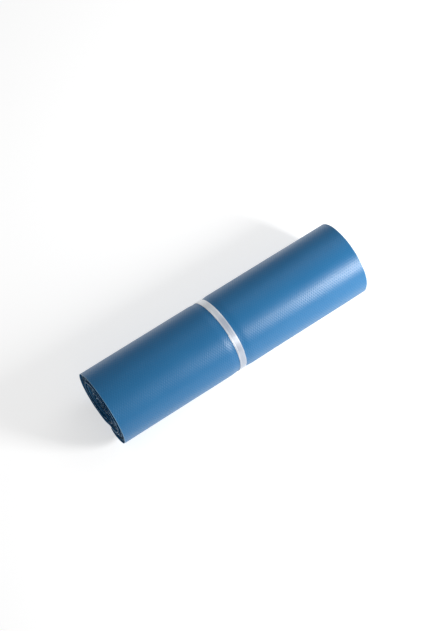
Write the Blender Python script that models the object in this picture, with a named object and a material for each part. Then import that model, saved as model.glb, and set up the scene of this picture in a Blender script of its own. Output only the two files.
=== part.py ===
"""A roll of poly mailers: a flat stack of film bags wound up and held by a band of clear tape.

Metres, +Z up. The roll lies along X on the plane z = 0, its middle over the origin.
The stack is a strip whose section is wound into a spiral: it starts with the rounded fold
that lies under the roll, goes once round as the outer turn, steps in over that fold, and
winds on into the core. At both ends the bundles of film stand out past the grooves
between them, each by its own amount.
"""
import math
import random

import bmesh
import bpy

# The roll
ROLL_LENGTH = 0.320
ROLL_WIDTH = 0.0870
ROLL_ROUND_HEIGHT = 0.0810  # the height it would have without the flat it lies on
FLAT_WIDTH = 0.0430
UNDERSIDE_FULLNESS = 2.35  # 2 is an ellipse, more is squarer
END_LEAN = 0.0034  # how much shorter the underside is than the top at the -X end

# The wound stack
STACK_THICKNESS = 0.0110
TURN_GAP = 0.0008
WOUND_TURNS = 2.80
CORE_HOLLOW_RADIUS = 0.0016  # the tightest curl of the stack's inner side
INNER_SAG = 0.0012  # how far the inner turns sink away from the outer one
FOLD_PLACE = -0.0150  # Y of the outer fold's end, on the flat
STEP_PLACE = 0.0055  # Y where the outer turn leaves the flat and steps in over the fold

# The bundles of film at the ends
BUNDLES = 6
BUNDLE_GROOVE = 0.00045
GROOVE_DEPTH = 0.0032
BUNDLE_STAGGER = 0.0014

# The tape
TAPE_PLACE = -0.0068  # X of the tape's middle line
TAPE_SLANT = 0.0014  # how far along X that line strays at the roll's sides
TAPE_WIDTH = 0.0080
TAPE_THICKNESS = 0.00025
TAPE_LAP = 0.026  # the length of the lapped end, along the tape
TAPE_LAP_ANGLE = math.radians(322.0)
TAPE_CLEARANCE = 0.00036
WAIST_SHOULDER = 0.0006  # clear room beside the tape at the bottom of the waist
WAIST_FADE = 0.0090  # the length over which the waist runs out

# Derived sizes
HALF_WIDTH = ROLL_WIDTH / 2.0
HALF_ROUND = ROLL_ROUND_HEIGHT / 2.0
FLAT_SHARE = 1.0 - (FLAT_WIDTH / ROLL_WIDTH) ** UNDERSIDE_FULLNESS
CENTRE_HEIGHT = HALF_ROUND * FLAT_SHARE ** (1.0 / UNDERSIDE_FULLNESS)
MEAN_RADIUS = (HALF_WIDTH + HALF_ROUND) / 2.0
WAIST_DEPTH = TAPE_CLEARANCE + 2.0 * TAPE_THICKNESS
PITCH = STACK_THICKNESS + TURN_GAP
FOLD_ANGLE = 1.5 * math.pi + math.atan(FOLD_PLACE / CENTRE_HEIGHT)
STEP_START = (FOLD_ANGLE + math.pi / 2.0 - math.atan(STEP_PLACE / CENTRE_HEIGHT)) / (2.0 * math.pi)
FLAT_TURN = math.atan(FLAT_WIDTH / 2.0 / CENTRE_HEIGHT) / (2.0 * math.pi)

# The grid of the section
OUTER_STEP = math.radians(10.0)  # angle between stations on the outer turn
STEP_GROWTH = math.radians(5.0)  # added to it with each turn inwards
FINE_STEP = math.radians(6.5)  # angle between stations where the outer turn steps in
STEP_OVERRUN = 0.02  # how far past a whole turn the steps end, in turns
STEP_LENGTHENING = (0.0, 0.13, 0.80)  # how much longer each step is than the outer one, in turns
FOLD_ROUNDING = STACK_THICKNESS / 2.0
FOLD_STATIONS = (0.05, 0.15, 0.38, 0.70, 1.05)  # of the rounding, along the stack

STRETCH_SHARE = 0.55  # how far the stack keeps its thickness where it slants

SEED = 11


def outline(angle):
    """Distance from the roll's centre to its outside, seen along the axis."""
    c = abs(math.cos(angle)) / HALF_WIDTH
    s = abs(math.sin(angle)) / HALF_ROUND
    if math.sin(angle) >= 0.0:
        return 1.0 / math.hypot(c, s)
    power = UNDERSIDE_FULLNESS
    return min((c ** power + s ** power) ** (-1.0 / power), -CENTRE_HEIGHT / math.sin(angle))


def smooth(t):
    t = min(max(t, 0.0), 1.0)
    return t * t * (3.0 - 2.0 * t)


def turns_in(phi):
    """How many turns the outer face of the stack has stepped in after phi turns."""
    steps = 0.0
    for turn, longer in enumerate(STEP_LENGTHENING):
        end = turn + 1.0 + STEP_OVERRUN
        length = 1.0 + STEP_OVERRUN - STEP_START + longer
        steps += smooth((phi - end) / length + 1.0)
    return steps


def outer_depth(phi):
    """How far inside the roll's outline the stack's outer face lies after phi turns."""
    return min(PITCH * turns_in(phi) + sag(phi), MEAN_RADIUS - STACK_THICKNESS - CORE_HOLLOW_RADIUS)


def slope_stretch(phi):
    """How much thicker the stack lies across the radius where it slants inwards."""
    near = 0.002
    rise = (outer_depth(phi + near) - outer_depth(phi - near)) / (2.0 * near)
    radius = MEAN_RADIUS - outer_depth(phi) - STACK_THICKNESS / 2.0
    return 1.0 + STRETCH_SHARE * (math.hypot(1.0, rise / (2.0 * math.pi * radius)) - 1.0)


def sag(phi):
    return INNER_SAG * smooth((phi - STEP_START) / (1.0 - STEP_START))


def tape_line(y):
    """X of the tape's middle line at a place across the roll."""
    return TAPE_PLACE - TAPE_SLANT * y / HALF_WIDTH


def waist(from_tape):
    """How far the roll is drawn in beside the tape's middle line, as a share of the full depth."""
    beside = abs(from_tape) - TAPE_WIDTH / 2.0 - WAIST_SHOULDER
    return 1.0 - smooth(beside / WAIST_FADE)


def fold_share(distance):
    """The share of the full thickness at a distance from a rounded fold."""
    t = min(distance / FOLD_ROUNDING, 1.0)
    return math.sqrt(1.0 - (1.0 - t) ** 2)


def station_turns():
    """The stations along the stack, in turns from the outer fold."""
    first = STACK_THICKNESS / 2.0
    outer_length = 2.0 * math.pi * (MEAN_RADIUS - first)
    inner_length = 2.0 * math.pi * (CORE_HOLLOW_RADIUS + first)
    start = [share * FOLD_ROUNDING / outer_length for share in FOLD_STATIONS]
    end = [WOUND_TURNS - share * FOLD_ROUNDING / inner_length for share in reversed(FOLD_STATIONS)]
    fold_turn = FOLD_ANGLE / (2.0 * math.pi) - 0.75
    stops = [start[-1], fold_turn + 1.0 - FLAT_TURN, STEP_START, 1.0 + STEP_OVERRUN, 2.0, end[0]]
    middle = []
    for low, high in zip(stops, stops[1:]):
        step = (OUTER_STEP + STEP_GROWTH * low) / (2.0 * math.pi)
        if low == STEP_START:
            step = FINE_STEP / (2.0 * math.pi)
        count = max(1, round((high - low) / step))
        middle += [low + (high - low) * index / count for index in range(1, count)]
        middle.append(high)
    return start + middle + end[1:]


def bundle_lines():
    """Shares of the thickness at which bundles and grooves meet, outside first."""
    groove = BUNDLE_GROOVE / STACK_THICKNESS
    bundle = (1.0 - groove * (BUNDLES - 1)) / BUNDLES
    lines = [0.0]
    for index in range(BUNDLES):
        lines.append(lines[-1] + bundle)
        if index < BUNDLES - 1:
            lines.append(lines[-1] + groove)
    return lines


class Section:
    """The wound stack's section: a grid of stations along the stack and lines across it."""

    def __init__(self):
        self.phis = station_turns()
        self.lines = bundle_lines()
        count = len(self.phis)
        self.shares = [slope_stretch(phi) for phi in self.phis]
        for index, share in enumerate(FOLD_STATIONS):
            rounding = fold_share(share * FOLD_ROUNDING)
            self.shares[index] *= rounding
            self.shares[count - 1 - index] *= rounding
        chance = random.Random(SEED)
        self.waves = [[chance.uniform(0.0, 2.0 * math.pi) for _ in range(3)] for _ in range(BUNDLES)]

    def depth(self, column, line):
        share = self.shares[column]
        across = max(0.5, share / 2.0) + (self.lines[line] - 0.5) * share
        phi = self.phis[column]
        return outer_depth(phi) + STACK_THICKNESS * across

    def point(self, column, line, from_tape):
        """The section's point in Y and Z, drawn in on the outer turn where the tape sits."""
        phi = self.phis[column]
        angle = FOLD_ANGLE - 2.0 * math.pi * phi
        depth = self.depth(column, line)
        drawn = WAIST_DEPTH * waist(from_tape) * max(0.0, 1.0 - depth / STACK_THICKNESS)
        reach = outline(angle) * (1.0 - (depth + drawn) / MEAN_RADIUS)
        y = reach * math.cos(angle)
        z = reach * math.sin(angle) + CENTRE_HEIGHT - sag(phi)
        return y, z

    def stagger(self, column, line):
        """How far a bundle's end lies inside the longest one, along the stack."""
        bundle = line // 2
        if bundle == 0 and self.phis[column] < STEP_START:
            return 0.0
        phi = self.phis[column]
        a, b, c = self.waves[bundle]
        wave = math.sin(a + 2.0 * math.pi * 0.9 * phi) + 0.6 * math.sin(b + 2.0 * math.pi * 2.3 * phi)
        return BUNDLE_STAGGER * (0.55 + 0.25 * wave + 0.10 * math.sin(c + phi))


def end_plane(side, z):
    """X of the roll's end at a height: the -X end leans, the +X end is square."""
    if side > 0:
        return ROLL_LENGTH / 2.0
    top = CENTRE_HEIGHT + HALF_ROUND
    return -ROLL_LENGTH / 2.0 + END_LEAN * (1.0 - z / top)


def wind_stack(bm, section):
    """Make the section's grid and draw it out along the roll, bundles and all."""
    columns = len(section.phis) - 1
    rows = len(section.lines) - 1
    column_of = bm.verts.layers.int.new("column")
    line_of = bm.verts.layers.int.new("line")
    bmesh.ops.create_grid(bm, x_segments=columns, y_segments=rows, size=1.0)
    for vert in bm.verts:
        vert[column_of] = round((vert.co.x + 1.0) / 2.0 * columns)
        vert[line_of] = round((vert.co.y + 1.0) / 2.0 * rows)

    def settle_beside_tape(verts, from_tape):
        for vert in verts:
            y, z = section.point(vert[column_of], vert[line_of], from_tape)
            vert.co = (tape_line(y) + from_tape, y, z)

    def settle_at_end(verts, side, inset=None):
        for vert in verts:
            column = vert[column_of]
            line = vert[line_of]
            y, z = section.point(column, line, ROLL_LENGTH)
            out = section.stagger(column, line) if inset is None else inset
            vert.co = (end_plane(side, z) - side * out, y, z)

    def draw_out(faces):
        edges = list({edge for face in faces for edge in face.edges})
        made = bmesh.ops.extrude_face_region(bm, geom=faces + edges)["geom"]
        fresh = [item for item in made if isinstance(item, bmesh.types.BMFace)]
        return fresh, [item for item in made if isinstance(item, bmesh.types.BMVert)]

    front = list(bm.faces)
    settle_at_end(bm.verts, -1, GROOVE_DEPTH)
    half = TAPE_WIDTH / 2.0 + WAIST_SHOULDER
    beside = (half, half + WAIST_FADE / 2.0, half + WAIST_FADE)
    for from_tape in [-x for x in reversed(beside)] + list(beside):
        front, verts = draw_out(front)
        settle_beside_tape(verts, from_tape)
    front, verts = draw_out(front)
    settle_at_end(verts, 1, GROOVE_DEPTH)

    for side in (-1, 1):
        limit = ROLL_LENGTH / 2.0 - 1.5 * GROOVE_DEPTH - END_LEAN
        caps = [f for f in bm.faces if all(side * v.co.x > limit for v in f.verts)]
        raised = [f for f in caps if min(v[line_of] for v in f.verts) % 2 == 0]
        bm.normal_update()
        raised = [f for f in raised if abs(f.normal.x) > 0.5]
        faces, verts = draw_out(raised)
        settle_at_end(verts, side)
    bmesh.ops.recalc_face_normals(bm, faces=list(bm.faces))


def wind_tape(bm, section):
    """The band: a ring in the roll's waist, twice as thick where its end laps over."""
    rounding = FOLD_ROUNDING / (2.0 * math.pi * MEAN_RADIUS)
    phis = [phi for phi in section.phis if rounding < phi <= STEP_START]
    angles = [FOLD_ANGLE - 2.0 * math.pi * phi for phi in phis] + [1.5 * math.pi - 2.0 * math.pi * FLAT_TURN]
    half_lap = TAPE_LAP / 2.0 / MEAN_RADIUS
    edge = 2.0 * TAPE_THICKNESS / MEAN_RADIUS

    def off_lap(angle):
        turn = (angle - TAPE_LAP_ANGLE + math.pi) % (2.0 * math.pi) - math.pi
        return abs(turn) - half_lap

    kept = [TAPE_LAP_ANGLE + end * half_lap + side * edge for end in (-1, 1) for side in (-1, 1)]
    for angle in angles:
        turns = [(angle - other + math.pi) % (2.0 * math.pi) - math.pi for other in kept]
        if min(abs(turn) for turn in turns) > 1.5 * edge:
            kept.append(angle)
    angles = sorted(angle % (2.0 * math.pi) for angle in kept)
    under = WAIST_DEPTH - TAPE_CLEARANCE

    def ring(x, lift):
        verts = []
        for angle in angles:
            reach = outline(angle) * (1.0 - (under - lift(angle)) / MEAN_RADIUS)
            spot = (x, reach * math.cos(angle), reach * math.sin(angle) + CENTRE_HEIGHT)
            verts.append(bm.verts.new(spot))
        count = len(verts)
        return [bm.edges.new((verts[i], verts[(i + 1) % count])) for i in range(count)]

    def inner(angle):
        return 0.0

    def outer(angle):
        return TAPE_THICKNESS * (2.0 if off_lap(angle) < 0.0 else 1.0)

    half = TAPE_WIDTH / 2.0
    rings = [ring(-half, inner), ring(-half, outer), ring(half, outer), ring(half, inner)]
    for index, one in enumerate(rings):
        bmesh.ops.bridge_loops(bm, edges=one + rings[(index + 1) % len(rings)])
    for vert in bm.verts:
        vert.co.x += tape_line(vert.co.y)
    bmesh.ops.recalc_face_normals(bm, faces=list(bm.faces))


def film_material(name, colour, roughness, coat=0.0, alpha=1.0):
    material = bpy.data.materials.new(name)
    material.use_nodes = True
    shader = material.node_tree.nodes["Principled BSDF"]
    shader.inputs["Base Color"].default_value = (*colour, 1.0)
    shader.inputs["Roughness"].default_value = roughness
    shader.inputs["Metallic"].default_value = 0.0
    shader.inputs["Coat Weight"].default_value = coat
    shader.inputs["Alpha"].default_value = alpha
    return material


def add_object(name, build, section, material):
    mesh = bpy.data.meshes.new(name)
    bm = bmesh.new()
    build(bm, section)
    bm.to_mesh(mesh)
    bm.free()
    mesh.materials.append(material)
    mesh.shade_smooth()
    mesh.set_sharp_from_angle(angle=math.radians(35.0))
    piece = bpy.data.objects.new(name, mesh)
    bpy.context.scene.collection.objects.link(piece)
    return piece


def main():
    for old in list(bpy.data.objects):
        bpy.data.objects.remove(old, do_unlink=True)
    section = Section()
    blue = film_material("blue_film", (0.040, 0.150, 0.340), 0.38)
    clear = film_material("clear_tape", (0.520, 0.580, 0.640), 0.22, coat=0.5, alpha=0.85)
    add_object("mailer_roll", wind_stack, section, blue)
    add_object("tape_band", wind_tape, section, clear)


main()
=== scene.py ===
import math

import bmesh
import bpy
import numpy as np
from bpy.props import FloatProperty, FloatVectorProperty, IntProperty, PointerProperty
from mathutils import Matrix, Vector, noise


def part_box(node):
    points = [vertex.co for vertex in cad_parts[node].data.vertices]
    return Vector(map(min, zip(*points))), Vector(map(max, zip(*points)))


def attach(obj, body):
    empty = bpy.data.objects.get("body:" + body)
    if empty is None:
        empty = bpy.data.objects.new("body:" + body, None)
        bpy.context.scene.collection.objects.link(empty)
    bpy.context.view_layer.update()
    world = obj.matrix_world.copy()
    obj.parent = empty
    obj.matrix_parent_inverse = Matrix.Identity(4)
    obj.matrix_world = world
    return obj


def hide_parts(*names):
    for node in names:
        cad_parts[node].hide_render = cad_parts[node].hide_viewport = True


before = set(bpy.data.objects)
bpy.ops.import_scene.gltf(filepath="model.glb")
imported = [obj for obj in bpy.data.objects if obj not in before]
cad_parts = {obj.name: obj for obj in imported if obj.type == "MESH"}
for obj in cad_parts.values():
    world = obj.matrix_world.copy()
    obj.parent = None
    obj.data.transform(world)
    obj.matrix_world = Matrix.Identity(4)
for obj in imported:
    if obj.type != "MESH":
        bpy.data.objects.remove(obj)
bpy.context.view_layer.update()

ROLL_LOW, ROLL_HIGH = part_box("mailer_roll")
FULL_TURN = 2.0 * math.pi
UV_SCALE = 10.0  # the film's UV map is in tenths of a metre
SHARP_FROM = math.radians(40.0)  # edges that turn more than this stay sharp

bl_info = {
    "name": "Roll of poly mailers",
    "version": (1, 0, 0),
    "blender": (4, 5, 0),
    "location": "View3D > Sidebar > Mailers",
    "description": "Dresses a wound stack of mailers with its film, tape band and studio",
    "category": "Object",
}


# Sizes and colours

class RollSizes(bpy.types.PropertyGroup):
    """The wound stack of mailers."""

    length: FloatProperty(
        name="Length", description="Width of the mailers, along the roll",
        default=round(ROLL_HIGH[0] - ROLL_LOW[0], 5), unit="LENGTH")
    width: FloatProperty(
        name="Width", description="Width of the roll as it lies",
        default=0.0870, unit="LENGTH")
    round_height: FloatProperty(
        name="Round height", description="Height the roll would have without its flat",
        default=0.0810, unit="LENGTH")
    flat_width: FloatProperty(
        name="Flat", description="Width of the flat it lies on", default=0.0430, unit="LENGTH")
    fullness: FloatProperty(
        name="Underside fullness", description="2 is an ellipse, more is squarer", default=2.35)
    thickness: FloatProperty(
        name="Stack", description="Thickness of the flat stack", default=0.0110, unit="LENGTH")
    turn_gap: FloatProperty(
        name="Turn gap", description="Gap between the turns", default=0.0008, unit="LENGTH")
    sag: FloatProperty(
        name="Sag", description="How far the inner turns sink", default=0.0012, unit="LENGTH")
    turns: FloatProperty(
        name="Turns", description="Turns from the outer fold to the core", default=2.80)
    end_lean: FloatProperty(
        name="End lean", description="How much shorter the underside is at the -X end",
        default=0.0034, unit="LENGTH")
    leaves: IntProperty(
        name="Leaves", description="Folded leaves of film that show at the ends",
        default=12, min=3, max=16)


class FilmLook(bpy.types.PropertyGroup):
    """The mailers' film."""

    colour: FloatVectorProperty(
        name="Film", description="The film's blue", subtype="COLOR", size=3,
        min=0.0, max=1.0, default=(0.0051, 0.1156, 0.2800))
    pale: FloatVectorProperty(
        name="Stretched film", description="The film's blue where it is stretched thin",
        subtype="COLOR", size=3, min=0.0, max=1.0, default=(0.0091, 0.1372, 0.3142))
    edge: FloatVectorProperty(
        name="Cut edges", description="The film's cut edges at the ends of the roll",
        subtype="COLOR", size=3, min=0.0, max=1.0, default=(0.046, 0.136, 0.245))
    # Pale colour for painted highlights: the outer rim where it catches the light, glints, some
    # leaves' edges and the creases in the core.
    rim_highlight: FloatVectorProperty(
        name="Outer rim highlight", description="The cut edge of the outermost mailer",
        subtype="COLOR", size=3, min=0.0, max=1.0, default=(0.150, 0.320, 0.470))
    # Painted shade: the darker blue of film between the turns and at the ends.
    shade: FloatVectorProperty(
        name="Inner film painted shade", description="Painted shade of the film between the turns", subtype="COLOR", size=3,
        min=0.0, max=1.0, default=(0.003, 0.026, 0.060))
    grain_pitch: FloatProperty(
        name="Grain pitch", description="Distance between the rows of embossed dots",
        default=0.00237, unit="LENGTH")
    grain_depth: FloatProperty(
        name="Grain depth", description="Depth of the embossed dots",
        default=0.00003, unit="LENGTH")
    roughness: FloatProperty(
        name="Roughness", description="How matt the film is", default=0.40, min=0.0, max=1.0)


class TapeLook(bpy.types.PropertyGroup):
    """The band of clear tape."""

    place: FloatProperty(
        name="Place", description="X of the band's middle line", default=-0.0068, unit="LENGTH")
    slant: FloatProperty(
        name="Slant", description="How far along X the band strays at the roll's sides",
        default=0.0014, unit="LENGTH")
    width: FloatProperty(
        name="Width", description="Width of the band", default=0.0080, unit="LENGTH")
    film: FloatProperty(
        name="Tape", description="Thickness of one wrap", default=0.00010, unit="LENGTH")
    seat: FloatProperty(
        name="Seat", description="Depth of the band's inner face under the roll's outline",
        default=0.00050, unit="LENGTH")
    shift: FloatProperty(
        name="Shift", description="How far the second wrap lies beside the first",
        default=0.0010, unit="LENGTH")
    colour: FloatVectorProperty(
        name="Tape", description="The tape over the blue film", subtype="COLOR", size=3,
        min=0.0, max=1.0, default=(0.29, 0.33, 0.41))
    # Painted shade on the tape, low at the front.
    painted_shade: FloatVectorProperty(
        name="Painted shade on tape", description="Painted shade on the tape, low at the front",
        subtype="COLOR", size=3, min=0.0, max=1.0, default=(0.08, 0.12, 0.19))
    # Pale tape colour, reached by its real streaks and by painted highlight on its edges and
    # painted sheen.
    edge: FloatVectorProperty(
        name="Tape edge", description="The tape's bright edges", subtype="COLOR", size=3,
        min=0.0, max=1.0, default=(0.76, 0.81, 0.86))


class StudioLook(bpy.types.PropertyGroup):
    """The floor and the lights."""

    floor: FloatVectorProperty(
        name="Floor", description="The pale floor", subtype="COLOR", size=3,
        min=0.0, max=1.0, default=(0.70, 0.70, 0.70))
    key: FloatProperty(
        name="Key light", description="Power of the low front light",
        default=6.1, unit="POWER")
    fill: FloatProperty(
        name="Fill light", description="Power of the light behind on the right",
        default=1.58, unit="POWER")
    sky: FloatProperty(
        name="Sky", description="Strength of the light all round", default=0.374)
    glow: FloatProperty(
        name="Floor glow", description="Strength of the floor's own light", default=0.52)


# The wound section

def smooth(t):
    """A soft step from 0 to 1."""
    t = np.clip(t, 0.0, 1.0)
    return t * t * (3.0 - 2.0 * t)


def waves(t, seed, base):
    """A smooth wandering value between -1 and 1 along t: three sines, each finer and weaker."""
    count, finer, weaker = 3, 1.9, 1.4
    slowest, spread = 0.7, 0.6
    chance = np.random.default_rng(seed)
    total = np.zeros_like(np.asarray(t, float))
    for index in range(count):
        rate = base * (slowest + spread * chance.random()) * finer ** index
        total = total + np.sin(FULL_TURN * (rate * t + chance.random())) / weaker ** index
    return total / sum(1.0 / weaker ** index for index in range(count))


class Wind:
    """The section of the wound stack in Y and Z, along it and across it."""

    FOLD_Y = -0.0150
    STEP_Y = 0.0055
    OVERRUN = 0.02  # how far a step lies past the turn it covers, in turns
    LENGTHENING = (0.0, 0.13, 0.80)  # how much longer each next step is, in turns
    STRETCH_SHARE = 0.55
    CORE_RADIUS = 0.0016
    WAIST_DEPTH = 0.00056
    WAIST_HALF = 0.0046
    WAIST_FADE = 0.0090
    END_REACH = 0.014  # how far in from the ends the film wanders
    TABLE_SPARE = 0.4
    TABLE_STEPS = 6000
    SLOPE_STEP = 0.002
    LEAST_DROP = 1e-6  # keeps the flat finite where the outline is level or above
    DENT = 0.00022
    DENT_ROUND = 1.1  # dents round the roll, to the radian
    DENT_ALONG = 13.0  # dents along it, to the metre
    DENT_FINER = 3.1
    DENT_FINE_SHARE = 0.25
    DENT_MOST = 1.5
    SWING_TERMS = (1, 2, 4)
    SWING = 0.31
    SWING_RATE = 9.0
    SWING_RISE = 5.0
    LOOSE = 0.00030
    LOOSE_RATE = 14.0
    LOOSE_SEED = 9
    LOOSE_FROM = 0.5  # turns
    SEEDS = {-1: 20, 0: 40, 1: 40}

    def __init__(self, sizes, tape):
        self.sizes = sizes
        self.tape = tape
        self.half_width = sizes.width / 2.0
        self.half_round = sizes.round_height / 2.0
        self.power = sizes.fullness
        share = 1.0 - (sizes.flat_width / sizes.width) ** self.power
        self.centre = self.half_round * share ** (1.0 / self.power)
        self.mean = (self.half_width + self.half_round) / 2.0
        self.pitch = sizes.thickness + sizes.turn_gap
        self.fold_angle = 1.5 * math.pi + math.atan(self.FOLD_Y / self.centre)
        step_angle = -0.5 * math.pi + math.atan(self.STEP_Y / self.centre)
        self.step_start = (self.fold_angle - step_angle) / FULL_TURN
        phi = np.linspace(0.0, sizes.turns + self.TABLE_SPARE, self.TABLE_STEPS)
        run = np.cumsum(FULL_TURN * self.radius(phi)[:-1] * np.diff(phi))
        self.table = np.concatenate([[0.0], run]), phi
        self.run_length = float(np.interp(sizes.turns, phi, self.table[0]))

    def outline(self, angle):
        """The roll's outline: round on top, fuller below, and cut by the flat."""
        c = np.abs(np.cos(angle)) / self.half_width
        s = np.abs(np.sin(angle)) / self.half_round
        upper = 1.0 / np.hypot(c, s)
        lower = (c ** self.power + s ** self.power) ** (-1.0 / self.power)
        flat = self.centre / np.maximum(-np.sin(angle), self.LEAST_DROP)
        return np.where(np.sin(angle) >= 0.0, upper, np.minimum(lower, flat))

    def turns_in(self, phi):
        """How many turns cover the stack at a place."""
        steps = 0.0
        for turn, longer in enumerate(self.LENGTHENING):
            length = 1.0 + self.OVERRUN - self.step_start + longer
            steps = steps + smooth((phi - turn - 1.0 - self.OVERRUN) / length + 1.0)
        return steps

    def sag_at(self, phi):
        return self.sizes.sag * smooth((phi - self.step_start) / (1.0 - self.step_start))

    def depth(self, phi):
        """Depth of the stack's outer face under the roll's outline."""
        deepest = self.mean - self.sizes.thickness - self.CORE_RADIUS
        return np.minimum(self.pitch * self.turns_in(phi) + self.sag_at(phi), deepest)

    def radius(self, phi):
        """Mean radius of the middle of the stack."""
        return self.mean - self.depth(phi) - self.sizes.thickness / 2.0

    def stretch(self, phi):
        """How much the slope of a step widens the stack."""
        near = self.SLOPE_STEP
        rise = (self.depth(phi + near) - self.depth(phi - near)) / (2.0 * near)
        slope = rise / (FULL_TURN * self.radius(phi))
        return 1.0 + self.STRETCH_SHARE * (np.hypot(1.0, slope) - 1.0)

    def phi_at(self, run):
        return np.interp(run, *self.table)

    def tape_line(self, y):
        """X of the tape's middle line at a place across the roll."""
        return self.tape.place - self.tape.slant * y / self.half_width

    def waist(self, x, y):
        """How much of the tape's pull reaches a place, from 0 to 1."""
        beside = np.abs(x - self.tape_line(y)) - self.WAIST_HALF
        return 1.0 - smooth(beside / self.WAIST_FADE)

    def dents(self, phi, x):
        """Shallow hollows of the soft roll, always inwards."""
        angle = self.fold_angle - FULL_TURN * phi
        round_y, round_z, along = np.broadcast_arrays(
            np.cos(angle) * self.DENT_ROUND, np.sin(angle) * self.DENT_ROUND,
            x * self.DENT_ALONG)
        out = np.zeros(along.shape)
        for index in np.ndindex(out.shape):
            spot = Vector((round_y[index], round_z[index], along[index]))
            fine = noise.noise(spot * self.DENT_FINER)
            out[index] = 0.5 + 0.5 * noise.noise(spot) + self.DENT_FINE_SHARE * fine
        return self.DENT * np.clip(out, 0.0, self.DENT_MOST)

    def place(self, run, across, x, side=0, dents=0.0):
        """Y and Z at a run along the stack and a share across it, from its outer face."""
        phi = self.phi_at(run)
        thickness = self.sizes.thickness
        near_end = smooth(1.0 - (self.sizes.length / 2.0 - np.abs(x)) / self.END_REACH)
        seed = self.SEEDS[side]
        shift = 0.0
        for term in self.SWING_TERMS:
            swing = waves(run, seed + term, self.SWING_RATE + self.SWING_RISE * term)
            turn = term * math.pi
            shift = shift + self.SWING * swing * np.sin(turn * across) / turn
        across = across + near_end * shift
        stretch = self.stretch(phi)
        part = np.maximum(0.5, stretch / 2.0) + (across - 0.5) * stretch
        loose = 1.0 + waves(run, seed + self.LOOSE_SEED, self.LOOSE_RATE)
        slack = near_end * self.LOOSE * loose
        depth = self.depth(phi) + thickness * part + slack * smooth(phi - self.LOOSE_FROM)
        outer = np.clip(1.0 - depth / thickness, 0.0, 1.0)
        angle = self.fold_angle - FULL_TURN * phi
        outside = self.outline(angle)
        waist = self.waist(x, outside * np.cos(angle))
        drawn = (self.WAIST_DEPTH * waist + dents) * outer
        reach = outside * (1.0 - (depth + drawn) / self.mean)
        y = reach * np.cos(angle)
        z = reach * np.sin(angle) + self.centre - self.sag_at(phi)
        return y, z

    def lean(self, side, z):
        """How far the end's face lies inside the roll's length at a height."""
        if side > 0:
            return 0.0 * z
        return self.sizes.end_lean * (1.0 - z / (self.centre + self.half_round))


# Mesh helpers

def int_layer(bm, name):
    return bm.verts.layers.int.get(name) or bm.verts.layers.int.new(name)


def put_grid(bm, spots):
    """A grid from the create operator, each vertex put at its own spot."""
    columns, rows = spots.shape[0] - 1, spots.shape[1] - 1
    column_of, row_of = int_layer(bm, "column"), int_layer(bm, "row")
    known = set(bm.faces)
    made = bmesh.ops.create_grid(bm, x_segments=columns, y_segments=rows, size=1.0)["verts"]
    for vert in made:
        column = round((vert.co.x + 1.0) / 2.0 * columns)
        row = round((vert.co.y + 1.0) / 2.0 * rows)
        vert[column_of] = column
        vert[row_of] = row
        vert.co = spots[column, row]
    return [face for face in bm.faces if face not in known]


def draw_through(bm, faces, spots, edge_slot=1):
    """Extrude a grid's faces to spots of their own; the walls between are cut edges."""
    column_of, row_of = int_layer(bm, "column"), int_layer(bm, "row")
    before = set(bm.faces)
    made = bmesh.ops.extrude_face_region(bm, geom=faces)["geom"]
    for item in made:
        if isinstance(item, bmesh.types.BMVert):
            item.co = spots[item[column_of], item[row_of]]
    top = {item for item in made if isinstance(item, bmesh.types.BMFace)}
    for face in bm.faces:
        if face not in before and face not in top:
            face.material_index = edge_slot


def put_leaf(bm, outer, inner, tone=None, edge_slot=1):
    """A closed leaf between two grids of spots, with a tone of its own for its cut edges."""
    known = set(bm.verts)
    draw_through(bm, put_grid(bm, outer), inner, edge_slot)
    if tone is not None:
        tone_of = bm.verts.layers.float.get("leaf")
        for vert in bm.verts:
            if vert not in known:
                vert[tone_of] = tone


def lay_uv(bm, runs, across=None):
    """UV in tenths of a metre: along X, or across a band, and along the wound film."""
    uv = bm.loops.layers.uv.new("film")
    column_of, row_of = int_layer(bm, "column"), int_layer(bm, "row")
    for face in bm.faces:
        for loop in face.loops:
            u = loop.vert.co.x if across is None else across[loop.vert[row_of]]
            loop[uv].uv = (u * UV_SCALE, runs[loop.vert[column_of]] * UV_SCALE)


def finish_piece(name, bm, materials, node):
    """The mesh as a piece of the frame that replaces a node and wears its material slot."""
    bmesh.ops.recalc_face_normals(bm, faces=list(bm.faces))
    mesh = bpy.data.meshes.new(name)
    bm.to_mesh(mesh)
    bm.free()
    for material in materials:
        mesh.materials.append(material)
    mesh.shade_smooth()
    mesh.set_sharp_from_angle(angle=SHARP_FROM)
    piece = bpy.data.objects.new(name, mesh)
    bpy.context.scene.collection.objects.link(piece)
    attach(piece, "root")
    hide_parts(node)


# Materials

class Wire:
    """A socket that takes Python's arithmetic and adds the Math nodes for it."""

    def __init__(self, tree, socket):
        self.tree = tree
        self.socket = socket

    def math(self, operation, *others, clamp=False):
        node = self.tree.nodes.new("ShaderNodeMath")
        node.operation = operation
        node.use_clamp = clamp
        for slot, value in zip(node.inputs, (self,) + others):
            feed(self.tree, slot, value)
        return Wire(self.tree, node.outputs[0])

    def __add__(self, other):
        return self.math("ADD", other)

    __radd__ = __add__

    def __mul__(self, other):
        return self.math("MULTIPLY", other)

    __rmul__ = __mul__

    def __sub__(self, other):
        return self.math("SUBTRACT", other)

    def __rsub__(self, other):
        return (self * -1.0) + other

    def cos(self):
        return self.math("COSINE")

    def clamped(self):
        """The value kept between 0 and 1."""
        return self.math("ADD", 0.0, clamp=True)


def feed(tree, slot, value):
    """Link a wire to a socket, or set the socket to a number, a vector or a colour."""
    if isinstance(value, Wire):
        tree.links.new(value.socket, slot)
    elif slot.type == "RGBA":
        slot.default_value = (*value, 1.0)
    else:
        slot.default_value = value


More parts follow.
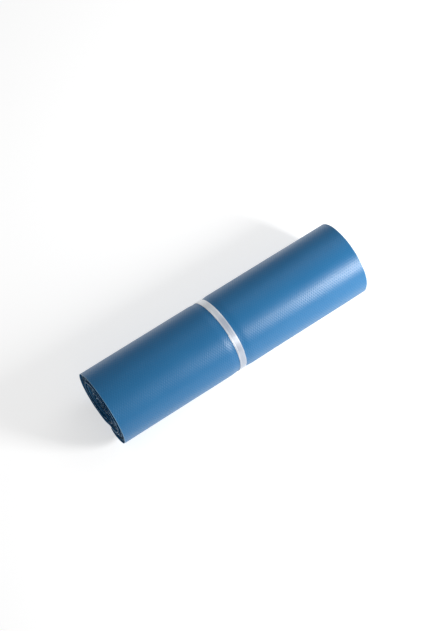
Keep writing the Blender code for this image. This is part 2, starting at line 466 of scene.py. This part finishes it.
class Shade:
    """One material, its shader and its nodes."""

    def __init__(self, name, **constants):
        self.material = bpy.data.materials.new(name)
        self.material.use_nodes = True
        self.tree = self.material.node_tree
        self.shader = self.tree.nodes["Principled BSDF"]
        for socket, value in constants.items():
            self.drive(socket.replace("_", " "), value)

    def add(self, kind, settings=None, inputs=None, output=0):
        """A node: its settings first, then its sockets; the wire is one of its outputs."""
        node = self.tree.nodes.new("ShaderNode" + kind)
        for key, value in (settings or {}).items():
            setattr(node, key, value)
        for key, value in (inputs or {}).items():
            feed(self.tree, node.inputs[key], value)
        return Wire(self.tree, node.outputs[output])

    def drive(self, socket, value):
        feed(self.tree, self.shader.inputs[socket], value)

    def body(self):
        """Object coordinates."""
        return self.add("TexCoord", output=3)

    def film_place(self):
        """The film's UV map, with its two parts."""
        place = self.add("UVMap", {"uv_map": "film"})
        split = self.add("SeparateXYZ", inputs={0: place})
        return place, split, Wire(self.tree, split.socket.node.outputs[1])

    def mix(self, factor, one, other):
        return self.add("Mix", {"data_type": "RGBA"}, {0: factor, 6: one, 7: other}, 2)

    def noise(self, place, scale, detail, roughness=0.5):
        inputs = {"Vector": place, "Scale": scale, "Detail": detail, "Roughness": roughness}
        return self.add("TexNoise", inputs=inputs)

    def stretched_noise(self, place, scales, detail, roughness):
        """Noise with a scale of its own along U and along V."""
        scaled = self.add(
            "VectorMath", {"operation": "MULTIPLY"}, {0: place, 1: (*scales, 1.0)})
        return self.noise(scaled, 1.0, detail, roughness)

    def bump(self, height, distance, strength, **more):
        return self.add("Bump", inputs={
            "Height": height, "Distance": distance, "Strength": strength, **more})


def film_material(look):
    """Blue film: fine embossed dots, faint long creases and a satin gloss."""
    row_share = 0.4  # the dots' rows along the roll, beside the two slanted ones
    cloud_scale, crease_scales = 14.0, (1.6, 8.0)
    pale_gain, pale_share = 1.2, 0.35
    rough_cloud, rough_dots = 0.16, 0.015
    coat, coat_creases, coat_dots = 0.147, 0.15, 0.065
    crease_depth, crease_strength, dot_strength = 0.00030, 0.30, 0.8
    shade = Shade(
        "poly_film", Metallic=0.0, IOR=1.5, Specular_IOR_Level=0.39, Coat_Roughness=0.30)
    place, along, wound = shade.film_place()
    turn = FULL_TURN / UV_SCALE / look.grain_pitch
    slant, half = along * (turn * math.sqrt(0.75)), wound * (turn / 2.0)
    dots = (wound * turn).cos() * row_share + (slant + half).cos() + (slant - half).cos()
    cloud = shade.noise(shade.body(), cloud_scale, 3.0) - 0.5
    creases = shade.stretched_noise(place, crease_scales, 4.0, 0.6)
    pale = (cloud * pale_gain + pale_share).clamped()
    shade.drive("Base Color", shade.mix(pale, look.colour, look.pale))
    shade.drive("Roughness", cloud * rough_cloud + dots * rough_dots + look.roughness)
    gloss = (creases - 0.5) * coat_creases - dots * coat_dots + coat
    shade.drive("Coat Weight", gloss.clamped())
    wrinkle = shade.bump(creases, crease_depth, crease_strength)
    shade.drive("Normal", shade.bump(dots, look.grain_depth, dot_strength, Normal=wrinkle))
    return shade.material


def rim_material(look):
    """The outermost mailer's cut edge, painted paler where it catches the light: a painted
    highlight.
    """
    patch_scale, patch_gain, rim_share = 30.0, 2.4, 0.55
    shade = Shade("film_rim_painted_highlight", Metallic=0.0, IOR=1.5, Roughness=0.30)
    patch = shade.noise(shade.body(), patch_scale, 2.0) - 0.5
    share = (patch * patch_gain + rim_share).clamped()
    shade.drive("Base Color", shade.mix(share, look.edge, look.rim_highlight))
    return shade.material


def edge_material(look):
    """The cut edges of the film: each leaf has its own tone down to painted shade, painted glints
    where it is creased, and some leaves paler as a painted highlight.
    """
    tone_spread, tone_gain = 37.7, 0.9  # spreads the leaves' own numbers between 0 and 1
    fine_scale, fine_gain = 120.0, 1.3
    glint_scale, glint_from, glint_gain, glint_most = 310.0, 0.60, 7.0, 0.7
    pale_spread, pale_from, pale_gain, pale_most = 91.3, 0.8, 6.0, 0.35
    shade = Shade(
        "film_edge_painted_shade_and_glints", Metallic=0.0, IOR=1.5, Roughness=0.50, Specular_IOR_Level=0.08)
    leaf = shade.add("Attribute", {"attribute_name": "leaf"}, output=2)
    body = shade.body()
    fine = shade.noise(body, fine_scale, 3.0) - 0.5
    tone = ((leaf * tone_spread).math("FRACT") * tone_gain + fine * fine_gain).clamped()
    speck = shade.noise(body, glint_scale, 2.0) - glint_from
    glint = (speck * glint_gain).clamped() * glint_most
    # Some leaves' edges are paler: painted highlight.
    chosen = (leaf * pale_spread).math("FRACT") - pale_from
    highlit_leaves = (chosen * pale_gain).clamped() * pale_most
    # The leaves' tones run from the inner film's painted shade to the edges' blue.
    colour = shade.mix(tone, look.shade, look.edge)
    shade.drive("Base Color", shade.mix(glint.math("MAXIMUM", highlit_leaves), colour, look.rim_highlight))
    return shade.material


def inner_material(look):
    """The film's hidden turns: the same blue, darkened by painted shade, and a little crumpled."""
    scale, depth, strength = 90.0, 0.0006, 0.5
    roughness, rough_change = 0.36, 0.3
    shade = Shade("inner_film_painted_shade", Metallic=0.0, IOR=1.5, Specular_IOR_Level=0.22)
    crumple = shade.noise(shade.body(), scale, 4.0)
    # Painted shade: the film is mixed towards the darker inner blue.
    shade.drive("Base Color", shade.mix(crumple, look.shade, look.colour))
    shade.drive("Roughness", (crumple - 0.5) * rough_change + roughness)
    shade.drive("Normal", shade.bump(crumple, depth, strength))
    return shade.material


def crumpled_material(look):
    """Crumpled film in the core, paler on its creases as a painted highlight."""
    scale, depth, strength = 150.0, 0.0012, 0.7
    pale_gain, pale_share = 2.6, 0.65
    roughness, rough_change = 0.30, 0.3
    shade = Shade("crumpled_film_painted_highlight", Metallic=0.0, IOR=1.5, Specular_IOR_Level=0.40)
    crumple = shade.noise(shade.body(), scale, 4.0, 0.6)
    # Painted highlight: the creases are mixed towards the pale rim colour.
    pale = ((crumple - 0.5) * pale_gain + pale_share).clamped()
    shade.drive("Base Color", shade.mix(pale, look.colour, look.rim_highlight))
    shade.drive("Roughness", (crumple - 0.5) * rough_change + roughness)
    shade.drive("Normal", shade.bump(crumple, depth, strength))
    return shade.material


def tape_material(look, turn, lead):
    """Clear tape over blue film: edges paler as a painted highlight, fine streaks, and painted
    sheen and painted shade round the roll.

    A turn of the tape is turn metres long, and starts at the angle lead. The coat is stronger
    than one face of tape, because it stands for the faces of two wraps."""
    streak_scales, streak_gain = (260.0, 3.0), 1.6
    streak_depth, streak_strength = 0.00025, 0.6
    # Painted highlight: the tape's edges are paler.
    rim_from, rim_fade, rim_gain = 0.50, 0.16, 0.35  # from and fade: shares of half its width
    painted_sheen_at, painted_sheen_gain = math.radians(50.0), 1.2  # painted sheen at the top at the back, and again on the opposite side
    # Painted shade on the tape, low at the front.
    painted_shade_at, painted_shade_from, painted_shade_gain, painted_shade_most = math.radians(202.0), 0.30, 0.9, 0.90
    roughness, rough_streaks = 0.32, 0.25
    shade = Shade(
        "clear_tape", Metallic=0.0, IOR=1.48, Coat_Weight=1.0, Coat_Roughness=0.32,
        Coat_IOR=2.35)
    place, across, wound = shade.film_place()
    streaks = shade.stretched_noise(place, streak_scales, 4.0, 0.65) - 0.5
    half = look.width / 2.0 * UV_SCALE
    past = across.math("ABSOLUTE") - half * rim_from
    rim_highlight = (past * (1.0 / (half * rim_fade))).clamped()
    angle = wound * (FULL_TURN / turn / UV_SCALE) + lead
    # Painted sheen at the top at the back and low at the front, and painted shade low at the
    # front, set by the angle round the roll.
    painted_sheen = ((angle * 2.0 - painted_sheen_at * 2.0).cos() * painted_sheen_gain).clamped()
    painted_shade = (((angle - painted_shade_at).cos() - painted_shade_from) * painted_shade_gain).clamped()
    tone = (rim_highlight * rim_gain + streaks * streak_gain + painted_sheen).clamped()
    colour = shade.mix(tone, look.colour, look.edge)
    shade.drive("Base Color", shade.mix(painted_shade * painted_shade_most, colour, look.painted_shade))
    shade.drive("Roughness", streaks * rough_streaks + roughness)
    shade.drive("Normal", shade.bump(streaks + 0.5, streak_depth, streak_strength))
    return shade.material


# The film's leaves

SHORTER = (0.0, 0.0035, 0.0010, 0.0060)  # how much earlier some leaves end in the core
SHORTER_FROM = 0.30  # the run along the stack from which they are shorter
LEAF_SEED = 7
LEAF_WIDTHS = (0.6, 1.4)
LEAF_GAPS = (0.10, 0.26)  # the gap inside a leaf's share of the stack
INSET_FADE = 0.5  # how much of a cut edge's inset is gone a little way in


def leaf_lines(sizes):
    """Outer and inner faces of each folded leaf, as shares of the stack's thickness."""
    chance = np.random.default_rng(LEAF_SEED)
    widths = chance.uniform(*LEAF_WIDTHS, sizes.leaves)
    widths *= 0.5 / widths.sum()
    gaps = widths * chance.uniform(*LEAF_GAPS, sizes.leaves)
    outer = np.concatenate([[0.0], np.cumsum(widths)[:-1]])
    return [(low, low + width - gap) for low, width, gap in zip(outer, widths, gaps)]


class LeafPath:
    """The columns along a folded leaf: in from the core, round the outer fold, and back in."""

    TURN_STEP = 0.13  # radians between columns where the turns are tight

    def __init__(self, wind, step, bends):
        self.middle = wind.sizes.thickness / 2.0
        back = [self.middle]
        while back[-1] < wind.run_length:
            radius = wind.mean - wind.depth(wind.phi_at(back[-1])) - self.middle
            back.append(back[-1] + min(step, self.TURN_STEP * radius))
        share = (wind.run_length - self.middle) / (back[-1] - self.middle)
        self.back = self.middle + (np.array(back) - self.middle) * share
        self.bend = np.linspace(0.0, math.pi, bends + 2)[1:-1]

    def runs(self):
        """The run along the stack at every column."""
        bend = self.middle * (1.0 - np.sin(self.bend))
        return np.concatenate([self.back[::-1], bend, self.back])

    def film_runs(self):
        """The distance along the film itself, from its middle fold."""
        bend = (self.bend / math.pi - 0.5) * 2.0 * self.middle
        return np.concatenate([-self.back[::-1], bend, self.back])

    def inner_start(self):
        """The first column of the leg that faces the core."""
        return len(self.back) + len(self.bend)


class Rows:
    """The stations along the roll: close together at both ends, and some between."""

    def __init__(self, sizes, from_ends, between):
        self.half = sizes.length / 2.0
        near = [(-1, from_end) for from_end in from_ends]
        far = [(1, from_end) for from_end in reversed(from_ends)]
        middle = [(0, self.half - x) for x in between]
        self.all = near + middle + far
        self.x = np.array([(side or 1) * (self.half - from_end) for side, from_end in self.all])


def leaf_inset(wind, leaf, run, across, side):
    """How far a leaf's cut edge lies inside the end's face: more on the inner turns."""
    ragged, ragged_seed, ragged_rate = 0.00008, 61, 20.0
    clump, clump_seed, clump_rate, clump_spread, other_end = 0.0011, 71, 1.6, 1.7, 0.3
    drift, drift_seed, drift_rate, next_leaf = 0.0005, 81, 9.0, 0.1
    outer_inward, outer_from = 0.0014, 0.9
    least, inward, inward_from, inward_over = 0.0004, 0.0016, 0.8, 1.6
    turns = wind.phi_at(run)
    if leaf == 0:
        uneven = ragged * (1.0 + waves(run, ragged_seed + side, ragged_rate))
        return uneven + outer_inward * smooth(turns - outer_from)
    bundle = waves(across * clump_spread + other_end * side, clump_seed, clump_rate)
    own = waves(run + next_leaf * leaf, drift_seed + leaf + side, drift_rate)
    inner = inward * smooth((turns - inward_from) / inward_over)
    return least + clump * (1.0 + bundle) + drift * (1.0 + own) + inner


def leaf_spots(wind, face, path, rows, leaf, dents):
    """The places of one face of a folded leaf, for every column and row."""
    thickness, middle = wind.sizes.thickness, path.middle
    radius = (0.5 - face) * thickness
    cut_short = middle * (1.0 - math.sqrt(1.0 - min(2.0 * radius / thickness, 1.0) ** 2))
    cut_short += SHORTER[leaf % len(SHORTER)]
    late = smooth((path.back - SHORTER_FROM) / (wind.run_length - SHORTER_FROM))
    back = path.back * (1.0 - cut_short / wind.run_length * late)
    run = np.concatenate([back[::-1], middle - radius * np.sin(path.bend), back])
    across = np.concatenate([
        np.full(len(back), face),
        0.5 - radius / thickness * np.cos(path.bend),
        np.full(len(back), 1.0 - face)])
    spots = np.zeros((len(run), len(rows.all), 3))
    for row, (side, from_end) in enumerate(rows.all):
        x = rows.x[row]
        y, z = wind.place(run, across, np.full(len(run), x), side, dents[:, row])
        if side:
            inset = wind.lean(side, z) + leaf_inset(wind, leaf, run, across, side)
            x = x - side * inset * (1.0 - INSET_FADE * min(from_end / wind.END_REACH, 1.0))
        spots[:, row, 0] = x
        spots[:, row, 1] = y
        spots[:, row, 2] = z
    return spots


# Operators

def scene_groups():
    scene = bpy.context.scene
    return scene.roll_sizes, scene.film_look, scene.tape_look, scene.studio_look


class MAILER_OT_film_wrap(bpy.types.Operator):
    """Model the outermost mailer: the film that is seen all round the roll"""

    bl_idname = "mailer.film_wrap"
    bl_label = "Outer film"

    STEP = 0.0026
    BENDS = 17
    FROM_ENDS = (0.0, 0.0005, 0.0012, 0.0024, 0.004, 0.006, 0.0085, 0.011, 0.014)
    END_GAP = 0.018
    WAIST_GAP = 0.003
    STATIONS = (28, 23, 30)  # on the near side of the tape, under it, and on its far side

    def execute(self, context):
        sizes, film, tape, _ = scene_groups()
        wind = Wind(sizes, tape)
        path = LeafPath(wind, self.STEP, self.BENDS)
        rows = Rows(sizes, self.FROM_ENDS, self.between(wind))
        low, high = leaf_lines(sizes)[0]
        dents = wind.dents(wind.phi_at(path.runs())[:, None], rows.x[None, :])
        bm = bmesh.new()
        put_leaf(
            bm, leaf_spots(wind, low, path, rows, 0, dents),
            leaf_spots(wind, high, path, rows, 0, dents))
        lay_uv(bm, path.film_runs())
        self.colour_faces(bm, path.inner_start(), len(rows.all) - 1)
        materials = [film_material(film), rim_material(film), inner_material(film)]
        finish_piece("outer_film", bm, materials, "mailer_roll")
        return {"FINISHED"}

    def between(self, wind):
        """The stations between the ends, closer together under the tape."""
        reach = wind.sizes.length / 2.0 - self.END_GAP
        beside = wind.WAIST_HALF + wind.WAIST_FADE
        near, under, far = self.STATIONS
        place = wind.tape.place
        return np.concatenate([
            np.linspace(-reach, place - beside - self.WAIST_GAP, near),
            place + np.linspace(-beside, beside, under),
            np.linspace(place + beside + self.WAIST_GAP, reach, far)])

    @staticmethod
    def colour_faces(bm, inner_start, last_row):
        """Inner film, darkened by painted shade, on the leg that faces the core, and a pale rim at
        both ends, a painted highlight.
        """
        column_of, row_of = int_layer(bm, "column"), int_layer(bm, "row")
        for face in bm.faces:
            rows = [vert[row_of] for vert in face.verts]
            if face.material_index:
                continue
            if min(vert[column_of] for vert in face.verts) >= inner_start:
                face.material_index = 2
            elif max(rows) <= 1 or min(rows) >= last_row - 1:
                face.material_index = 1


class MAILER_OT_film_leaves(bpy.types.Operator):
    """Model the folded leaves under the outermost one, with their cut edges at both ends"""

    bl_idname = "mailer.film_leaves"
    bl_label = "Wound leaves"

    STEP = 0.0030
    BENDS = 9
    FROM_ENDS = (0.0, 0.0010, 0.0025, 0.005, 0.009, 0.014)
    WAIST = ((-1, 1.15), (-1, 0.5), (-1, -0.15), (1, -0.15), (1, 0.5), (1, 1.15))
    DENT_SHARE = 0.75
    TO_A_PIECE = 3
    TONE = 0.013
    TONE_RISE = 0.0021

    def execute(self, context):
        sizes, film, tape, _ = scene_groups()
        wind = Wind(sizes, tape)
        path = LeafPath(wind, self.STEP, self.BENDS)
        rows = Rows(sizes, self.FROM_ENDS, [
            tape.place + side * (wind.WAIST_HALF + wind.WAIST_FADE * part)
            for side, part in self.WAIST])
        dents = np.full((len(path.runs()), len(rows.x)), wind.DENT * self.DENT_SHARE)
        lines = leaf_lines(sizes)
        materials = [inner_material(film), edge_material(film)]
        for group, start in enumerate(range(1, len(lines), self.TO_A_PIECE)):
            bm = bmesh.new()
            bm.verts.layers.float.new("leaf")
            for leaf in range(start, min(start + self.TO_A_PIECE, len(lines))):
                low, high = lines[leaf]
                put_leaf(
                    bm, leaf_spots(wind, low, path, rows, leaf, dents),
                    leaf_spots(wind, high, path, rows, leaf, dents),
                    tone=self.TONE * (leaf + 1) + self.TONE_RISE * leaf * leaf)
            lay_uv(bm, path.film_runs())
            name = f"film_leaves_{group + 1}"
            finish_piece(name, bm, materials, "mailer_roll")
        return {"FINISHED"}


CORE_FOLDS = (  # Y and Z of the crumpled mailers in the core, in millimetres
    ((8.8, 31.2), (12.0, 32.2), (15.6, 36.0), (14.2, 40.6), (16.4, 43.6), (13.4, 47.2),
     (9.6, 48.0)),
    ((6.6, 31.4), (6.0, 28.6), (9.4, 26.4), (12.8, 28.4), (12.2, 30.6), (15.0, 32.4),
     (16.6, 30.6)),
    ((0.2, 36.6), (-2.0, 37.8), (-4.6, 35.8), (-3.8, 33.0), (-1.4, 33.4), (-2.6, 35.4)),
    ((4.2, 33.2), (2.4, 31.6), (3.4, 28.6), (6.2, 26.6), (8.6, 28.8)),
)
MILLIMETRES = 1000.0  # in a metre
PAST_LAST = 1.0001  # a hair over 1, so that a stop always follows the last point


def curve_through(stops, count):
    """Points on a smooth curve through the stops."""
    stops = np.array(stops)
    before = np.concatenate([[2.0 * stops[0] - stops[1]], stops[:-1]])
    after = np.concatenate([stops[1:], [2.0 * stops[-1] - stops[-2]]])
    slope = (after - before) / 2.0
    place = np.linspace(0.0, len(stops) - PAST_LAST, count)
    index = place.astype(int)
    t = (place - index)[:, None]
    one, other = stops[index], stops[index + 1]
    lead, follow = slope[index] * t * (1.0 - t) ** 2, slope[index + 1] * t * t * (t - 1.0)
    return one + (other - one) * t * t * (3.0 - 2.0 * t) + lead + follow


class MAILER_OT_core_folds(bpy.types.Operator):
    """Model the crumpled inner mailers that fill the core's hollow at both ends"""

    bl_idname = "mailer.core_folds"
    bl_label = "Core folds"

    THICKNESS = 0.00035
    REACH = 0.030
    COLUMNS = 48
    ROWS = 12
    SWING = 0.00055
    SWING_RATE = 2.2
    SWING_GROWS = 4.0  # the swing is full after a quarter of the fold
    DRIFT = 0.25  # how far the swing wanders along the fold on its way in
    RECESS = 0.0016
    RAGGED = 0.0014
    RAGGED_SEED = 3
    RAGGED_RATE = 1.7
    ROW_POWER = 1.5  # puts the rows closer together near the end
    TONE = 0.21
    TONE_STEP = 0.037
    SEED = 300
    SEED_STEP = 10

    def execute(self, context):
        sizes, film, tape, _ = scene_groups()
        wind = Wind(sizes, tape)
        bm = bmesh.new()
        bm.verts.layers.float.new("leaf")
        for side in (-1, 1):
            for fold, stops in enumerate(CORE_FOLDS):
                seed = self.SEED + self.SEED_STEP * fold + side
                spots = self.fold_spots(wind, side, stops, seed)
                put_leaf(bm, spots[0], spots[1], tone=self.TONE + self.TONE_STEP * fold)
        materials = [crumpled_material(film), edge_material(film)]
        finish_piece("core_folds", bm, materials, "mailer_roll")
        return {"FINISHED"}

    def fold_spots(self, wind, side, stops, seed):
        """The places of a fold's two faces, which run inwards from the end and wander."""
        columns, rows = self.COLUMNS + 1, self.ROWS + 1
        middle = curve_through(stops, columns) / MILLIMETRES
        step = np.gradient(middle, axis=0)
        normal = np.stack([-step[:, 1], step[:, 0]], 1)
        normal /= np.linalg.norm(normal, axis=1)[:, None]
        share = np.linspace(0.0, 1.0, columns)
        uneven = 1.0 + waves(share, seed + self.RAGGED_SEED, self.RAGGED_RATE)
        ragged = self.RECESS + self.RAGGED * uneven
        spots = np.zeros((2, columns, rows, 3))
        for row, inward in enumerate(np.linspace(0.0, 1.0, rows)):
            swing = waves(share + self.DRIFT * inward, seed, self.SWING_RATE)
            swing = swing * np.minimum(self.SWING_GROWS * share, 1.0)
            from_end = ragged + self.REACH * inward ** self.ROW_POWER
            for face in (0, 1):
                offset = self.SWING * swing + (face - 0.5) * self.THICKNESS
                place = middle + normal * offset[:, None]
                inset = wind.lean(side, place[:, 1]) + from_end
                spots[face, :, row, 0] = side * (wind.sizes.length / 2.0 - inset)
                spots[face, :, row, 1:] = place
        return spots


class MAILER_OT_tape_band(bpy.types.Operator):
    """Model the band of clear tape: two wraps, the second a little beside the first"""

    bl_idname = "mailer.tape_band"
    bl_label = "Tape band"

    WRAPS = 2.0
    LAP = 0.10  # turns
    START = -0.355  # turns from the outer fold
    COLUMNS = 380
    ROWS = 13
    STEP_UP = 0.02  # turns in which a wrap climbs on to the one below
    CLEARANCE = 1.15  # a wrap's lift, in thicknesses of tape
    SLIDE_FROM = 0.75  # turns
    SLIDE_OVER = 0.5  # turns
    CLING = 0.00002
    CLING_SEED = 91
    CLING_RATE = 9.0

    def execute(self, context):
        sizes, _, tape, _ = scene_groups()
        wind = Wind(sizes, tape)
        turn = np.linspace(0.0, self.WRAPS + self.LAP, self.COLUMNS)
        phi = turn + self.START
        angle = wind.fold_angle + FULL_TURN * phi
        lift = smooth((turn - 1.0) / self.STEP_UP) + smooth((turn - self.WRAPS) / self.STEP_UP)
        moved = smooth((turn - self.SLIDE_FROM) / self.SLIDE_OVER)
        slide = (moved - 0.5) * tape.shift
        across = np.linspace(-0.5, 0.5, self.ROWS) * (tape.width - tape.shift)
        cling = self.CLING * waves(phi, self.CLING_SEED, self.CLING_RATE)
        shapes = []
        for face in (1.0, 0.0):
            depth = tape.seat - tape.film * (lift * self.CLEARANCE + face) - cling
            reach = wind.outline(angle) * (1.0 - depth / wind.mean)
            y = reach * np.cos(angle)
            spots = np.zeros((len(phi), len(across), 3))
            spots[:, :, 0] = (wind.tape_line(y) + slide)[:, None] + across[None, :]
            spots[:, :, 1] = y[:, None]
            spots[:, :, 2] = (reach * np.sin(angle))[:, None] + wind.centre
            shapes.append(spots)
        bm = bmesh.new()
        put_leaf(bm, shapes[0], shapes[1], edge_slot=0)
        round_length = FULL_TURN * wind.mean
        lay_uv(bm, turn * round_length, across)
        material = tape_material(tape, round_length, angle[0])
        finish_piece("tape_wraps", bm, [material], "tape_band")
        return {"FINISHED"}


class MAILER_OT_studio(bpy.types.Operator):
    """Set the pale floor, the soft lights and the camera"""

    bl_idname = "mailer.studio"
    bl_label = "Studio"

    FLOOR_HALF = 6.0
    FLOOR_DROP = 0.0002
    KEY = ((0.398, -0.508, 0.362), (0.12, 0.0, 0.05), (0.175, 0.338))  # place, aim, size
    FILL = ((0.60, 0.30, 0.80), (0.05, 0.0, 0.05), (0.7, 0.7))
    SENSOR = 36.0
    FRAME_HEIGHT = 631.0  # pixels
    FOCAL = 1643.4  # pixels
    FORWARD = (0.2599, 0.3730, -0.8907)
    UP = (0.5093, 0.7307, 0.4546)
    RADII_LONG = 7.515  # the roll's length in the camera's unit, its radius
    OFFSET = (0.356, -0.404, 41.658)  # the roll's middle from the camera, in that unit
    MIDDLE = (0.0, 0.0, 0.0370)

    def execute(self, context):
        sizes, _, _, studio = scene_groups()
        scene = context.scene
        self.floor(scene, studio)
        world = bpy.data.worlds.new("studio_sky")
        world.use_nodes = True
        sky = world.node_tree.nodes["Background"]
        sky.inputs["Color"].default_value = (1.0, 1.0, 1.0, 1.0)
        sky.inputs["Strength"].default_value = studio.sky
        scene.world = world
        scene.view_settings.view_transform = "Standard"
        self.light("key", *self.KEY, studio.key)
        self.light("fill", *self.FILL, studio.fill)
        self.camera(scene, sizes)
        return {"FINISHED"}

    def floor(self, scene, studio):
        shade = Shade(
            "studio_floor", Base_Color=studio.floor, Roughness=0.9, Specular_IOR_Level=0.1,
            Emission_Color=(1.0, 1.0, 1.0), Emission_Strength=studio.glow)
        bm = bmesh.new()
        bmesh.ops.create_grid(bm, x_segments=2, y_segments=2, size=self.FLOOR_HALF)
        bmesh.ops.translate(bm, verts=bm.verts, vec=(0.0, 0.0, -self.FLOOR_DROP))
        mesh = bpy.data.meshes.new("floor")
        bm.to_mesh(mesh)
        bm.free()
        mesh.materials.append(shade.material)
        floor = bpy.data.objects.new("floor", mesh)
        scene.collection.objects.link(floor)

    def light(self, name, spot, aim, size, power):
        data = bpy.data.lights.new(name, "AREA")
        data.shape = "RECTANGLE"
        data.size, data.size_y = size
        data.energy = power
        lamp = bpy.data.objects.new(name, data)
        forward = Vector(aim) - Vector(spot)
        lamp.matrix_world = self.facing(Vector(spot), forward, Vector((0.0, 0.0, 1.0)))
        bpy.context.scene.collection.objects.link(lamp)

    def camera(self, scene, sizes):
        data = bpy.data.cameras.new("camera")
        data.sensor_fit = "VERTICAL"
        data.sensor_height = self.SENSOR
        data.lens = self.FOCAL * self.SENSOR / self.FRAME_HEIGHT
        data.clip_end = 30.0
        forward = Vector(self.FORWARD).normalized()
        up = Vector(self.UP)
        up = (up - forward * up.dot(forward)).normalized()
        right = forward.cross(up)
        radius = sizes.length / self.RADII_LONG
        aside, above, ahead = self.OFFSET
        away = radius * (aside * right + above * up + ahead * forward)
        lens = bpy.data.objects.new("camera", data)
        lens.matrix_world = self.facing(Vector(self.MIDDLE) - away, forward, up)
        scene.collection.objects.link(lens)
        scene.camera = lens

    @staticmethod
    def facing(spot, forward, up):
        """The matrix of a light or camera at a spot that looks forward."""
        back = -forward.normalized()
        right = up.cross(back).normalized()
        turned = Matrix((right, back.cross(right), back)).transposed().to_4x4()
        return Matrix.Translation(spot) @ turned


class MAILER_PT_sidebar(bpy.types.Panel):
    """The roll's sizes and looks, and the steps that build it"""

    bl_idname = "MAILER_PT_sidebar"
    bl_label = "Roll of mailers"
    bl_space_type = "VIEW_3D"
    bl_region_type = "UI"
    bl_category = "Mailers"

    def draw(self, context):
        for group in scene_groups():
            box = self.layout.box()
            for name in group.bl_rna.properties.keys():
                if name not in ("rna_type", "name"):
                    box.prop(group, name)
        for operator in OPERATORS:
            self.layout.operator(operator.bl_idname)


GROUPS = {
    "roll_sizes": RollSizes,
    "film_look": FilmLook,
    "tape_look": TapeLook,
    "studio_look": StudioLook,
}
OPERATORS = (
    MAILER_OT_film_wrap,
    MAILER_OT_film_leaves,
    MAILER_OT_core_folds,
    MAILER_OT_tape_band,
    MAILER_OT_studio,
)


def register():
    for kind in (*GROUPS.values(), *OPERATORS, MAILER_PT_sidebar):
        bpy.utils.register_class(kind)
    for name, kind in GROUPS.items():
        setattr(bpy.types.Scene, name, PointerProperty(type=kind))


def unregister():
    for name in GROUPS:
        delattr(bpy.types.Scene, name)
    for kind in (MAILER_PT_sidebar, *reversed(OPERATORS), *reversed(GROUPS.values())):
        bpy.utils.unregister_class(kind)


def main():
    register()
    bpy.ops.mailer.film_wrap()
    bpy.ops.mailer.film_leaves()
    bpy.ops.mailer.core_folds()
    bpy.ops.mailer.tape_band()
    bpy.ops.mailer.studio()


if __name__ == "__main__":
    main()
